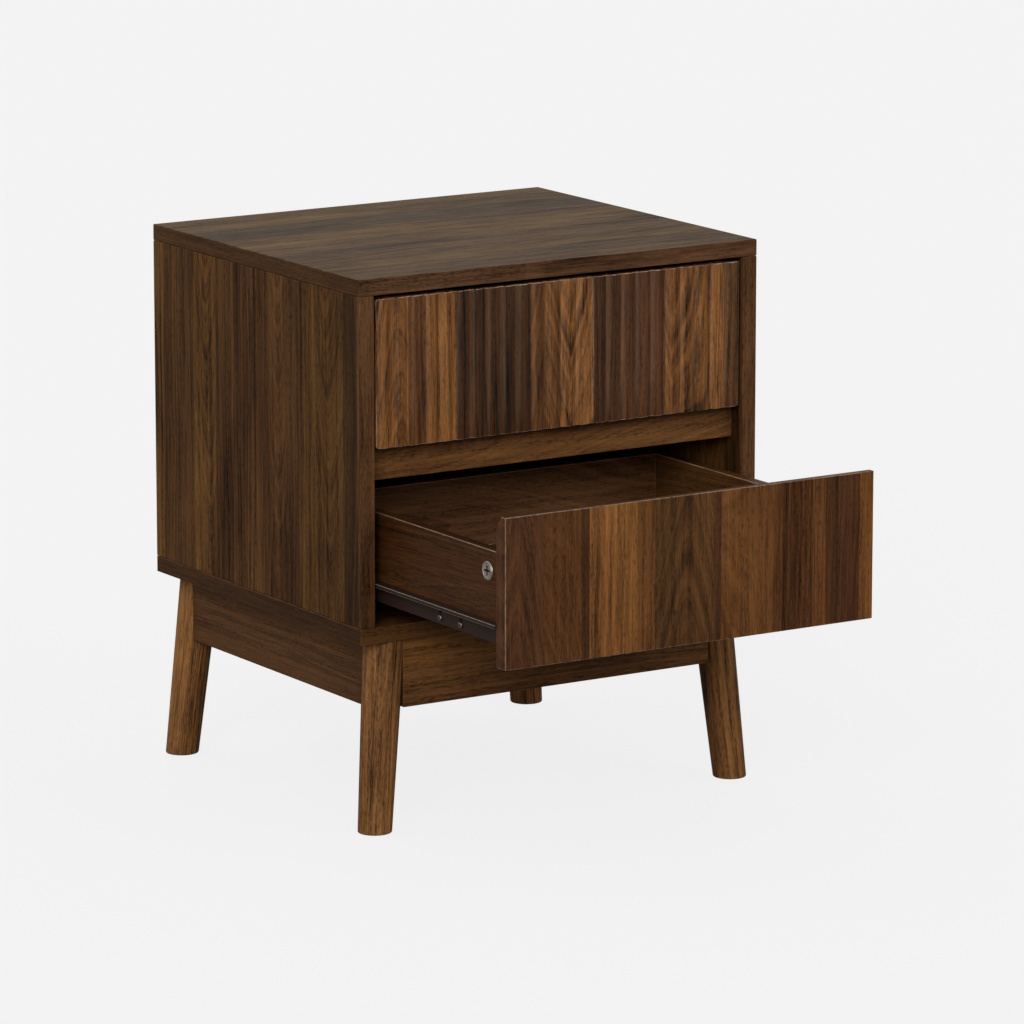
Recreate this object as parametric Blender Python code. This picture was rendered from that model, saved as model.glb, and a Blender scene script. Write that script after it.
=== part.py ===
"""Two-drawer nightstand: a laminated board cabinet on four splayed, tapered legs.

Metres, +Z up, the fronts face -Y. The origin is on the floor at the middle of the footprint
that the nightstand has with its lower drawer pulled out, which is how it is drawn. The upper
drawer is shut. Both drawers run on side-mounted roller slides.
"""
import math

import bmesh
import bpy
from mathutils import Matrix, Vector

# ---- Driving dimensions -------------------------------------------------------------------
WIDTH = 0.450
DEPTH = 0.395
HEIGHT = 0.536
LEG_HEIGHT = 0.186
BOARD = 0.016
GAP = 0.0003

BACK_BOARD = 0.003
BACK_REBATE = 0.008

# Drawer fronts, set in between the side panels
FRONT_BOARD = 0.016
FRONT_SIDE_GAP = 0.003
FRONT_TOP_GAP = 0.004
FRONT_BOTTOM_GAP = 0.002
FINGER_GAP = 0.026
PULL_DEPTH = 0.0095
PULL_DROP = 0.0114
RIB_COUNT = 24
RIB_DEPTH = 0.0022
RIB_STEPS = 6

# Rail across the cabinet, behind the finger gap
RAIL_HEIGHT = 0.040
RAIL_CLEARANCE = 0.001

# Drawer boxes
BOX_BOARD = 0.012
BOX_SIDE_SPACE = 0.0125
BOX_END_SPACE = 0.044
BOX_LIFT = 0.021
BOX_SHARE = 0.588
BOX_BOTTOM = 0.003
GROOVE_LIFT = 0.010
GROOVE_DEPTH = 0.006

# Roller slides: s runs inward from the side panel, h runs up from the slide's underside
SHEET = 0.0012
SLIDE_END_SPACE = 0.035
SLIDE_SETBACK = 0.002
EXTENSION = 0.75
CHANNEL_REACH = 0.0098
CHANNEL_LIP = 0.0080
WEB_PLACE = 0.0110
RUNNER_REACH = 0.0020
RUNNER_LIP = 0.0035
SHELF_WIDTH = 0.0135
REAR_ROLLER_RADIUS = 0.0095
REAR_ROLLER_FACES = (0.0024, 0.0104)
REAR_ROLLER_END = 0.010
FRONT_ROLLER_FACES = (0.0036, 0.0087)
FRONT_ROLLER_END = 0.012
CHANNEL_PLAY = 0.0011
RUNNER_PLAY = 0.0013
PIN_RADIUS = 0.0025
PIN_CLEARANCE = 0.0003
ROLLER_CHAMFER = 0.0006
ROLLER_SEGMENTS = 28

# Screws that hold each runner to its drawer side, and the upright slots they sit in
SCREW_PLACES = (0.074, 0.110)
SCREW_LIFT = 0.0056
SCREW_HEAD_RADIUS = 0.0032
SCREW_HEAD_HEIGHT = 0.0016
SCREW_RADIUS = 0.0016
SCREW_LENGTH = 0.0095
SLOT_RADIUS = 0.0021
SLOT_RISE = 0.0060

# Cam locks that pull the drawer sides up to the front
CAM_RADIUS = 0.0075
CAM_RIM_RADIUS = 0.0090
CAM_RIM_HEIGHT = 0.0010
CAM_DEPTH = 0.0090
CAM_SETBACK = 0.0285
CAM_DROP = 0.0200

# Legs and the frame of aprons between them
LEG_TOP_RADIUS = 0.0200
LEG_FOOT_RADIUS = 0.0165
LEG_INSET_X = 0.038
LEG_INSET_Y = 0.0215
LEG_SPLAY_X = 0.0175
LEG_SPLAY_Y = 0.0110
LEG_SEGMENTS = 48
APRON_HEIGHT = 0.067
APRON_HOUSING = 0.0080
BRACKET_SHEET = 0.0020
BRACKET_HEIGHT = 0.045
BRACKET_DROP = 0.008
BRACKET_FLANGE = 0.022
BRACKET_CLEARANCE = 0.002
BOLT_RADIUS = 0.0030
BOLT_CLEARANCE = 0.0005
BOLT_DEPTH = 0.017
BOLT_STICK_OUT = 0.012
NUT_RADIUS = 0.0058
NUT_HEIGHT = 0.0050

# ---- Places worked out from the driving dimensions -----------------------------------------
BOX_LENGTH = DEPTH - FRONT_BOARD - BOX_END_SPACE
SLIDE_LENGTH = BOX_LENGTH - SLIDE_END_SPACE
TRAVEL = EXTENSION * SLIDE_LENGTH
REAR_REACH = max(DEPTH / 2, DEPTH / 2 - LEG_INSET_Y + LEG_SPLAY_Y + LEG_FOOT_RADIUS)
MIDDLE_Y = (DEPTH / 2 + TRAVEL - REAR_REACH) / 2
FRONT_Y = MIDDLE_Y - DEPTH / 2
BACK_Y = MIDDLE_Y + DEPTH / 2
SIDE_X = WIDTH / 2
INNER_X = SIDE_X - BOARD
FLOOR_BOARD_TOP = LEG_HEIGHT + BOARD
TOP_BOARD_UNDERSIDE = HEIGHT - BOARD
OPENING_HEIGHT = TOP_BOARD_UNDERSIDE - FLOOR_BOARD_TOP
FRONT_HEIGHT = (OPENING_HEIGHT - FRONT_TOP_GAP - FRONT_BOTTOM_GAP - FINGER_GAP) / 2
FRONT_X = INNER_X - FRONT_SIDE_GAP
LOWER_FRONT_Z = FLOOR_BOARD_TOP + FRONT_BOTTOM_GAP
UPPER_FRONT_Z = LOWER_FRONT_Z + FRONT_HEIGHT + FINGER_GAP
BOX_HEIGHT = BOX_SHARE * FRONT_HEIGHT
BOX_X = INNER_X - BOX_SIDE_SPACE
BOX_INNER_X = BOX_X - BOX_BOARD
SLIDE_LIFT = BOX_LIFT - GAP - SHEET
CHANNEL_Y = FRONT_BOARD + SLIDE_SETBACK
CHANNEL_HEIGHT = 2 * (SHEET + REAR_ROLLER_RADIUS) + CHANNEL_PLAY
RUNNER_HEIGHT = CHANNEL_HEIGHT - SHEET - RUNNER_PLAY
FRONT_ROLLER_TOP = RUNNER_HEIGHT - SHEET - GAP
FRONT_ROLLER_RADIUS = (FRONT_ROLLER_TOP - SHEET - 3 * GAP) / 2
FRONT_ROLLER_LIFT = FRONT_ROLLER_TOP - FRONT_ROLLER_RADIUS
REAR_ROLLER_LIFT = SHEET + GAP + REAR_ROLLER_RADIUS
LEG_X = SIDE_X - LEG_INSET_X
LEG_Y = DEPTH / 2 - LEG_INSET_Y
APRON_TOP = LEG_HEIGHT - GAP
APRON_END = LEG_TOP_RADIUS - APRON_HOUSING
BRACKET_REACH = math.sqrt(2) * (LEG_TOP_RADIUS + BRACKET_CLEARANCE)
BRACKET_MIDDLE_Z = LEG_HEIGHT - BRACKET_DROP - BRACKET_HEIGHT / 2

SIDES = {"left": -1, "right": 1}
ENDS = {"front": -1, "back": 1}


# ---- Materials -----------------------------------------------------------------------------
def make_material(name, colour, roughness, metallic=0.0):
    """Principled material with one colour and finish."""
    material = bpy.data.materials.new(name)
    material.use_nodes = True
    shader = material.node_tree.nodes["Principled BSDF"]
    shader.inputs["Base Color"].default_value = (*colour, 1.0)
    shader.inputs["Roughness"].default_value = roughness
    shader.inputs["Metallic"].default_value = metallic
    return material


def make_materials():
    """All the finishes of the nightstand."""
    return {
        "walnut": make_material("walnut_laminate", (0.145, 0.075, 0.038), 0.45),
        "walnut_top": make_material("walnut_top_laminate", (0.130, 0.088, 0.055), 0.38),
        "leg": make_material("walnut_leg", (0.230, 0.110, 0.048), 0.42),
        "hardboard": make_material("brown_hardboard", (0.110, 0.064, 0.036), 0.70),
        "slide": make_material("brown_epoxy_steel", (0.045, 0.026, 0.018), 0.40, 0.2),
        "roller": make_material("ivory_nylon", (0.620, 0.580, 0.480), 0.45),
        "nickel": make_material("nickel_plate", (0.620, 0.610, 0.580), 0.30, 1.0),
        "zinc": make_material("zinc_plate", (0.520, 0.530, 0.550), 0.35, 1.0),
    }


# ---- Helpers -------------------------------------------------------------------------------
def clear_scene():
    """Remove whatever objects the file started with."""
    for item in list(bpy.data.objects):
        bpy.data.objects.remove(item, do_unlink=True)


def make_empty(name, location):
    """Group handle that the pieces of one moving body hang on."""
    empty = bpy.data.objects.new(name, None)
    empty.location = location
    bpy.context.scene.collection.objects.link(empty)
    return empty


def add_object(name, shape, material, parent, location=(0, 0, 0), smooth=False):
    """Turn a bmesh into a named object under its parent."""
    mesh = bpy.data.meshes.new(name)
    shape.to_mesh(mesh)
    shape.free()
    if smooth:
        mesh.shade_smooth()
        mesh.set_sharp_from_angle(angle=math.radians(35))
    item = bpy.data.objects.new(name, mesh)
    item.location = location
    item.parent = parent
    bpy.context.scene.collection.objects.link(item)
    if material is not None:
        mesh.materials.append(material)
    return item


def box_shape(size):
    """Rectangular block centred on its own origin."""
    shape = bmesh.new()
    bmesh.ops.create_cube(shape, size=1.0)
    bmesh.ops.scale(shape, vec=Vector(size), verts=shape.verts)
    return shape


def add_block(name, low, high, material, parent):
    """Rectangular block between two corners of its parent's frame."""
    low, high = Vector(low), Vector(high)
    return add_object(name, box_shape(high - low), material, parent, (low + high) / 2)


def extruded_shape(outline, direction):
    """Closed outline of 3-D points pushed along a direction."""
    shape = bmesh.new()
    corners = [shape.verts.new(point) for point in outline]
    face = shape.faces.new(corners)
    pushed = bmesh.ops.extrude_face_region(shape, geom=[face])
    moved = [item for item in pushed["geom"] if isinstance(item, bmesh.types.BMVert)]
    bmesh.ops.translate(shape, vec=Vector(direction), verts=moved)
    bmesh.ops.recalc_face_normals(shape, faces=shape.faces)
    return shape


def turned_shape(profile, segments):
    """Closed (radius, along) profile turned about +X; a radius of 0 closes the end."""
    shape = bmesh.new()
    corners = [shape.verts.new((along, radius, 0)) for radius, along in profile]
    edges = [shape.edges.new(pair) for pair in zip(corners, corners[1:])]
    if profile[0][0] > 0:
        edges.append(shape.edges.new((corners[-1], corners[0])))
    bmesh.ops.spin(shape, geom=corners + edges, axis=(1, 0, 0), cent=(0, 0, 0),
                   angle=math.tau, steps=segments, use_merge=True)
    bmesh.ops.remove_doubles(shape, verts=shape.verts, dist=1e-6)
    bmesh.ops.recalc_face_normals(shape, faces=shape.faces)
    return shape


def modify(item, tool, operation="DIFFERENCE"):
    """Cut a guide object out of a piece, or join it on, and hide the guide."""
    modifier = item.modifiers.new(tool.name, "BOOLEAN")
    modifier.operation = operation
    modifier.solver = "EXACT"
    modifier.object = tool
    tool.hide_render = True
    tool.display_type = "WIRE"


def cut_block(item, name, low, high):
    """Cut a rectangular block out of a piece, both in the same parent's frame."""
    modify(item, add_block(name, low, high, None, item.parent))


# ---- Cabinet -------------------------------------------------------------------------------
def add_horizontal_panels(cabinet, materials):
    """Top and bottom panels, both the full width and depth."""
    add_block("top_panel", (-SIDE_X, FRONT_Y, TOP_BOARD_UNDERSIDE), (SIDE_X, BACK_Y, HEIGHT),
              materials["walnut_top"], cabinet)
    add_block("bottom_panel", (-SIDE_X, FRONT_Y, LEG_HEIGHT), (SIDE_X, BACK_Y, FLOOR_BOARD_TOP),
              materials["walnut"], cabinet)


def add_side_panel(side, cabinet, materials):
    """Side panel between the top and bottom panels, rebated for the back."""
    sign = SIDES[side]
    low_z = FLOOR_BOARD_TOP + GAP
    high_z = TOP_BOARD_UNDERSIDE - GAP
    outer, inner = sign * SIDE_X, sign * INNER_X
    panel = add_block(side + "_side_panel", (min(outer, inner), FRONT_Y, low_z),
                      (max(outer, inner), BACK_Y, high_z), materials["walnut"], cabinet)
    rebate_x = sign * (INNER_X + BACK_REBATE)
    past_x = sign * (INNER_X - BACK_REBATE)
    cut_block(panel, side + "_rebate_cut",
              (min(rebate_x, past_x), BACK_Y - BACK_BOARD - GAP, low_z - BACK_REBATE),
              (max(rebate_x, past_x), BACK_Y + BACK_REBATE, high_z + BACK_REBATE))


def add_back_and_rail(cabinet, materials):
    """Hardboard back in the rebates, and the rail behind the finger gap."""
    back_x = INNER_X + BACK_REBATE - GAP
    add_block("back_panel", (-back_x, BACK_Y - BACK_BOARD, FLOOR_BOARD_TOP + GAP),
              (back_x, BACK_Y, TOP_BOARD_UNDERSIDE - GAP), materials["hardboard"], cabinet)
    rail_y = FRONT_Y + FRONT_BOARD + RAIL_CLEARANCE
    rail_z = UPPER_FRONT_Z - FINGER_GAP / 2
    rail_x = INNER_X - GAP
    add_block("middle_rail", (-rail_x, rail_y, rail_z - RAIL_HEIGHT / 2),
              (rail_x, rail_y + BOARD, rail_z + RAIL_HEIGHT / 2), materials["walnut"], cabinet)


# ---- Legs and aprons -----------------------------------------------------------------------
def apron_corners(axis, sign, extra=0.0):
    """Low and high corners of the apron across one side, grown by extra."""
    end_x = LEG_X - APRON_END
    end_y = LEG_Y - APRON_END
    if axis == "y":
        faces = sorted((sign * LEG_Y, sign * (LEG_Y + BOARD)))
        low = (-end_x - extra, MIDDLE_Y + faces[0] - extra, LEG_HEIGHT - APRON_HEIGHT - extra)
        high = (end_x + extra, MIDDLE_Y + faces[1] + extra, APRON_TOP + extra)
    else:
        faces = sorted((sign * LEG_X, sign * (LEG_X + BOARD)))
        low = (faces[0] - extra, MIDDLE_Y - end_y - extra, LEG_HEIGHT - APRON_HEIGHT - extra)
        high = (faces[1] + extra, MIDDLE_Y + end_y + extra, APRON_TOP + extra)
    return low, high


def add_aprons(cabinet, materials):
    """Four aprons whose inner faces run through the tops of the leg axes."""
    for end, sign in ENDS.items():
        add_block(end + "_apron", *apron_corners("y", sign), materials["walnut"], cabinet)
    for side, sign in SIDES.items():
        add_block(side + "_apron", *apron_corners("x", sign), materials["walnut"], cabinet)


def leg_shape(sign_x, sign_y):
    """Tapered round leg, leaning outward, with its foot cut level with the floor."""
    shape = bmesh.new()
    bmesh.ops.create_cone(shape, cap_ends=True, segments=LEG_SEGMENTS, radius1=LEG_FOOT_RADIUS,
                          radius2=LEG_TOP_RADIUS, depth=APRON_TOP)
    bmesh.ops.translate(shape, vec=(0, 0, APRON_TOP / 2), verts=shape.verts)
    for corner in shape.verts:
        lean = 1 - corner.co.z / APRON_TOP
        corner.co.x += sign_x * lean * LEG_SPLAY_X
        corner.co.y += sign_y * lean * LEG_SPLAY_Y
    return shape


def bracket_outline(sign_x, sign_y):
    """Plan of the bent corner bracket, from the corner where the apron faces meet."""
    bend = BRACKET_SHEET * math.tan(math.radians(22.5))
    inside = GAP + BRACKET_SHEET
    tip = BRACKET_REACH + BRACKET_FLANGE
    plan = [(tip, GAP), (BRACKET_REACH, GAP), (GAP, BRACKET_REACH), (GAP, tip),
            (inside, tip), (inside, BRACKET_REACH + bend), (BRACKET_REACH + bend, inside),
            (tip, inside)]
    low_z = BRACKET_MIDDLE_Z - BRACKET_HEIGHT / 2
    return [(sign_x * (LEG_X - u), sign_y * (LEG_Y - v), low_z) for u, v in plan]


def bolt_frame(sign_x, sign_y):
    """Frame whose +X runs from the leg out through the middle of the bracket."""
    middle = BRACKET_REACH / 2 + GAP / 2
    place = Matrix.Translation((sign_x * (LEG_X - middle), sign_y * (LEG_Y - middle),
                                BRACKET_MIDDLE_Z))
    heading = math.atan2(-sign_y, -sign_x)
    return place @ Matrix.Rotation(heading, 4, "Z")


def rod_shape(radius, start, stop, segments=20):
    """Plain rod along +X."""
    return turned_shape([(0, start), (radius, start), (radius, stop), (0, stop)], segments)


def add_leg_set(end, side, cabinet, frame, materials):
    """One leg with the bracket that holds it to its two aprons and the bolt through both."""
    sign_x, sign_y = SIDES[side], ENDS[end]
    name = end + "_" + side
    leg = add_object(name + "_leg", leg_shape(sign_x, sign_y), materials["leg"], frame,
                     (sign_x * LEG_X, sign_y * LEG_Y, 0), smooth=True)
    for axis, sign in (("y", sign_y), ("x", sign_x)):
        low, high = apron_corners(axis, sign, GAP)
        modify(leg, add_block(name + "_housing_" + axis, low, high, None, cabinet))

    bracket = add_object(name + "_bracket",
                         extruded_shape(bracket_outline(sign_x, sign_y), (0, 0, BRACKET_HEIGHT)),
                         materials["zinc"], frame)

    # The bolt's depth is counted from the leg's face, BRACKET_CLEARANCE behind the bracket.
    start = -BRACKET_CLEARANCE - BOLT_DEPTH
    stop = BRACKET_SHEET + BOLT_STICK_OUT
    axis_frame = bolt_frame(sign_x, sign_y)
    hole = rod_shape(BOLT_RADIUS + BOLT_CLEARANCE, start - BOLT_CLEARANCE, stop)
    hole.transform(axis_frame)
    drill = add_object(name + "_bolt_hole", hole, None, frame)
    modify(leg, drill)
    modify(bracket, drill)

    shank = rod_shape(BOLT_RADIUS, start, stop)
    shank.transform(axis_frame)
    bolt = add_object(name + "_leg_bolt", shank, materials["zinc"], frame, smooth=True)
    nut = rod_shape(NUT_RADIUS, BRACKET_SHEET + GAP, BRACKET_SHEET + GAP + NUT_HEIGHT, 6)
    nut.transform(axis_frame)
    modify(bolt, add_object(name + "_nut", nut, None, frame), "UNION")


# ---- Roller slides -------------------------------------------------------------------------
def slide_x(sign, inward):
    """Across the cabinet, from a distance inward of the side panel."""
    return sign * (INNER_X - inward)


def add_strip(name, outline, sign, base_z, start_y, length, material, parent):
    """Sheet-metal section, given as (inward, up) points, pushed along +Y."""
    points = [(slide_x(sign, inward), start_y, base_z + up) for inward, up in outline]
    return add_object(name, extruded_shape(points, (0, length, 0)), material, parent)


def join_pin(item, sign, faces, centre_y, centre_z):
    """Join a roller's pin on to the sheet that carries it."""
    pin = rod_shape(PIN_RADIUS, *sorted(slide_x(sign, inward) for inward in faces), 16)
    bmesh.ops.translate(pin, vec=(0, centre_y, centre_z), verts=pin.verts)
    modify(item, add_object(item.name + "_pin", pin, None, item.parent), "UNION")


def add_roller(name, radius, faces, sign, centre, material, parent):
    """Grooveless roller turning on its pin; its origin is on the pin's axis."""
    low, high = sorted(slide_x(sign, inward) for inward in faces)
    half = (high - low) / 2
    bore = PIN_RADIUS + PIN_CLEARANCE
    profile = [(bore, -half), (radius - ROLLER_CHAMFER, -half), (radius, ROLLER_CHAMFER - half),
               (radius, half - ROLLER_CHAMFER), (radius - ROLLER_CHAMFER, half), (bore, half)]
    place = ((low + high) / 2, centre[0], centre[1])
    add_object(name, turned_shape(profile, ROLLER_SEGMENTS), material, parent, place, smooth=True)


def add_channel(level, side, base_z, cabinet, materials):
    """Cabinet half of a slide: a channel on the side panel with a roller at its front."""
    sign = SIDES[side]
    web = GAP + SHEET
    outline = [(GAP, 0), (CHANNEL_REACH, 0), (CHANNEL_REACH, SHEET), (web, SHEET),
               (web, CHANNEL_HEIGHT - SHEET), (CHANNEL_LIP, CHANNEL_HEIGHT - SHEET),
               (CHANNEL_LIP, CHANNEL_HEIGHT), (GAP, CHANNEL_HEIGHT)]
    name = level + "_" + side
    channel = add_strip(name + "_slide_channel", outline, sign, base_z, FRONT_Y + CHANNEL_Y,
                        SLIDE_LENGTH, materials["slide"], cabinet)
    centre = (FRONT_Y + CHANNEL_Y + FRONT_ROLLER_END, base_z + FRONT_ROLLER_LIFT)
    join_pin(channel, sign, (GAP + SHEET / 2, FRONT_ROLLER_FACES[1]), *centre)
    add_roller(name + "_front_roller", FRONT_ROLLER_RADIUS, FRONT_ROLLER_FACES, sign, centre,
               materials["roller"], cabinet)


def slot_shape(sign, centre_y, centre_z):
    """Upright slot with round ends, through the runner's web."""
    low, high = sorted((slide_x(sign, WEB_PLACE - SHEET), slide_x(sign, WEB_PLACE + 2 * SHEET)))
    shape = rod_shape(SLOT_RADIUS, low, high, 16)
    for corner in shape.verts:
        if corner.co.z > 0:
            corner.co.z += SLOT_RISE
    bmesh.ops.translate(shape, vec=(0, centre_y, centre_z), verts=shape.verts)
    return shape


def add_screw(name, sign, centre_y, centre_z, material, parent):
    """Pan-head screw through the runner's web into the drawer side."""
    face = WEB_PLACE - GAP
    tip = BOX_SIDE_SPACE + SCREW_LENGTH
    profile = [(0, face - SCREW_HEAD_HEIGHT), (SCREW_HEAD_RADIUS * 0.7, face - SCREW_HEAD_HEIGHT),
               (SCREW_HEAD_RADIUS, face - SCREW_HEAD_HEIGHT * 0.4), (SCREW_HEAD_RADIUS, face),
               (SCREW_RADIUS, face), (SCREW_RADIUS, tip - SCREW_RADIUS), (0, tip)]
    placed = [(radius, slide_x(sign, inward)) for radius, inward in profile]
    return add_object(name, turned_shape(placed, 16), material, parent,
                      (0, centre_y, centre_z), smooth=True)


def add_runner(level, side, drawer, drawer_side, materials):
    """Drawer half of a slide: a bent strip under and beside the box, with a rear roller."""
    sign = SIDES[side]
    inner = WEB_PLACE + SHEET
    shelf = WEB_PLACE + SHELF_WIDTH
    outline = [(WEB_PLACE, 0), (shelf, 0), (shelf, SHEET), (inner, SHEET),
               (inner, RUNNER_HEIGHT), (RUNNER_REACH, RUNNER_HEIGHT),
               (RUNNER_REACH, RUNNER_HEIGHT - RUNNER_LIP),
               (RUNNER_REACH + SHEET, RUNNER_HEIGHT - RUNNER_LIP),
               (RUNNER_REACH + SHEET, RUNNER_HEIGHT - SHEET), (WEB_PLACE, RUNNER_HEIGHT - SHEET)]
    name = level + "_" + side
    start_y = FRONT_BOARD + GAP
    runner = add_strip(name + "_slide_runner", outline, sign, SLIDE_LIFT, start_y, SLIDE_LENGTH,
                       materials["slide"], drawer)

    roller_y = FRONT_BOARD + SLIDE_LENGTH - REAR_ROLLER_END
    roller_z = SLIDE_LIFT + REAR_ROLLER_LIFT
    clear_y = roller_y - REAR_ROLLER_RADIUS - 3 * GAP
    ends = sorted((slide_x(sign, 0), slide_x(sign, WEB_PLACE - GAP)))
    cut_block(runner, name + "_flange_cut", (ends[0], clear_y, SLIDE_LIFT + SHEET),
              (ends[1], roller_y + BOX_END_SPACE, SLIDE_LIFT + CHANNEL_HEIGHT))
    join_pin(runner, sign, (REAR_ROLLER_FACES[0], WEB_PLACE + SHEET / 2), roller_y, roller_z)
    add_roller(name + "_rear_roller", REAR_ROLLER_RADIUS, REAR_ROLLER_FACES, sign,
               (roller_y, roller_z), materials["roller"], drawer)

    screw_z = SLIDE_LIFT + SCREW_LIFT
    for number, place in enumerate(SCREW_PLACES, 1):
        screw_y = FRONT_BOARD + place
        slot = slot_shape(sign, screw_y, screw_z)
        modify(runner, add_object(f"{name}_slot_{number}", slot, None, drawer))
        pilot = rod_shape(SCREW_RADIUS + GAP,
                          *sorted((slide_x(sign, BOX_SIDE_SPACE - GAP),
                                   slide_x(sign, BOX_SIDE_SPACE + SCREW_LENGTH + GAP))), 16)
        bmesh.ops.translate(pilot, vec=(0, screw_y, screw_z), verts=pilot.verts)
        modify(drawer_side, add_object(f"{name}_pilot_{number}", pilot, None, drawer))
        add_screw(f"{name}_slide_screw_{number}", sign, screw_y, screw_z, materials["nickel"],
                  drawer)


# ---- Drawers -------------------------------------------------------------------------------
def ribbed_outline():
    """Plan of the upper front: a row of round ribs along the face, flat behind."""
    pitch = 2 * FRONT_X / RIB_COUNT
    points = []
    for step in range(RIB_COUNT * RIB_STEPS + 1):
        rise = abs(math.sin(math.pi * step / RIB_STEPS))
        points.append((-FRONT_X + pitch * step / RIB_STEPS, RIB_DEPTH * (1 - rise), 0))
    points.append((FRONT_X, FRONT_BOARD, 0))
    points.append((-FRONT_X, FRONT_BOARD, 0))
    return points


def add_upper_front(drawer, materials):
    """Ribbed front with a sloping finger pull behind its lower edge."""
    front = add_object("upper_drawer_front", extruded_shape(ribbed_outline(), (0, 0, FRONT_HEIGHT)),
                       materials["walnut"], drawer)
    back = FRONT_BOARD
    slope = PULL_DROP / PULL_DEPTH
    wedge = [(-SIDE_X, back - PULL_DEPTH - PULL_DEPTH, -PULL_DROP),
             (-SIDE_X, back + PULL_DEPTH, PULL_DROP + PULL_DEPTH * slope),
             (-SIDE_X, back + PULL_DEPTH, -PULL_DROP)]
    tool = add_object("upper_pull_cut", extruded_shape(wedge, (WIDTH, 0, 0)), None, drawer)
    modify(front, tool)
    return front


def add_lower_front(drawer, materials):
    """Plain front with a sloping finger pull behind its upper edge."""
    outline = [(-FRONT_X, 0, 0), (-FRONT_X, FRONT_BOARD, 0),
               (-FRONT_X, FRONT_BOARD, FRONT_HEIGHT - PULL_DROP),
               (-FRONT_X, FRONT_BOARD - PULL_DEPTH, FRONT_HEIGHT), (-FRONT_X, 0, FRONT_HEIGHT)]
    return add_object("lower_drawer_front", extruded_shape(outline, (2 * FRONT_X, 0, 0)),
                      materials["walnut"], drawer)


def add_cam_lock(name, sign, drawer, drawer_side, materials):
    """Round cam let into the drawer side near the front, with a rim over its pocket."""
    centre = (0, FRONT_BOARD + CAM_SETBACK, BOX_LIFT + BOX_HEIGHT - CAM_DROP)
    face = BOX_SIDE_SPACE
    floor = face + CAM_DEPTH
    profile = [(0, face - GAP - CAM_RIM_HEIGHT), (CAM_RIM_RADIUS - ROLLER_CHAMFER,
                                                  face - GAP - CAM_RIM_HEIGHT),
               (CAM_RIM_RADIUS, face - GAP - CAM_RIM_HEIGHT + ROLLER_CHAMFER),
               (CAM_RIM_RADIUS, face - GAP), (CAM_RADIUS, face - GAP),
               (CAM_RADIUS, floor), (0, floor)]
    placed = [(radius, slide_x(sign, inward)) for radius, inward in profile]
    add_object(name, turned_shape(placed, 24), materials["nickel"], drawer, centre, smooth=True)
    pocket = rod_shape(CAM_RADIUS + GAP, *sorted((slide_x(sign, face - GAP),
                                                  slide_x(sign, floor + GAP))), 24)
    bmesh.ops.translate(pocket, vec=centre, verts=pocket.verts)
    modify(drawer_side, add_object(name + "_pocket", pocket, None, drawer))


def add_drawer(level, drawer, front, materials):
    """Box behind a front: two sides, a back, a grooved-in bottom, cams and runners."""
    box_y = FRONT_BOARD + GAP
    end_y = FRONT_BOARD + BOX_LENGTH
    groove_low = BOX_LIFT + GROOVE_LIFT
    groove_high = groove_low + BOX_BOTTOM + 2 * GAP
    groove_x = BOX_INNER_X + GROOVE_DEPTH
    prefix = level + "_drawer_"

    for side, sign in SIDES.items():
        faces = sorted((sign * BOX_X, sign * BOX_INNER_X))
        board = add_block(prefix + side + "_side", (faces[0], box_y, BOX_LIFT),
                          (faces[1], end_y, BOX_LIFT + BOX_HEIGHT), materials["walnut"], drawer)
        groove = sorted((sign * groove_x, sign * (BOX_INNER_X - GROOVE_DEPTH)))
        cut_block(board, prefix + side + "_groove", (groove[0], 0, groove_low),
                  (groove[1], end_y + GROOVE_DEPTH, groove_high))
        add_cam_lock(f"{level}_{side}_cam_lock", sign, drawer, board, materials)
        add_runner(level, side, drawer, board, materials)

    cut_block(front, prefix + "front_groove", (-groove_x, FRONT_BOARD - GROOVE_DEPTH, groove_low),
              (groove_x, end_y, groove_high))
    add_block(prefix + "bottom",
              (GAP - groove_x, FRONT_BOARD - GROOVE_DEPTH + GAP, groove_low + GAP),
              (groove_x - GAP, end_y, groove_high - GAP), materials["hardboard"], drawer)
    back_x = BOX_INNER_X - GAP
    add_block(prefix + "back", (-back_x, end_y - BOX_BOARD, groove_high),
              (back_x, end_y, BOX_LIFT + BOX_HEIGHT), materials["walnut"], drawer)


# ---- Whole nightstand ----------------------------------------------------------------------
def build():
    """Model every piece of the nightstand."""
    clear_scene()
    materials = make_materials()
    cabinet = make_empty("cabinet", (0, 0, 0))
    leg_frame = make_empty("leg_frame", (0, MIDDLE_Y, 0))
    upper = make_empty("upper_drawer", (0, FRONT_Y, UPPER_FRONT_Z))
    lower = make_empty("lower_drawer", (0, FRONT_Y - TRAVEL, LOWER_FRONT_Z))

    add_horizontal_panels(cabinet, materials)
    add_back_and_rail(cabinet, materials)
    add_aprons(cabinet, materials)
    for side in SIDES:
        add_side_panel(side, cabinet, materials)
        for level, front_z in (("upper", UPPER_FRONT_Z), ("lower", LOWER_FRONT_Z)):
            add_channel(level, side, front_z + SLIDE_LIFT, cabinet, materials)
        for end in ENDS:
            add_leg_set(end, side, cabinet, leg_frame, materials)
    add_drawer("upper", upper, add_upper_front(upper, materials), materials)
    add_drawer("lower", lower, add_lower_front(lower, materials), materials)


build()
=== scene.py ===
"""Looks of the two-drawer walnut nightstand: laminated boards, turned legs, cams and slides."""

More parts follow.
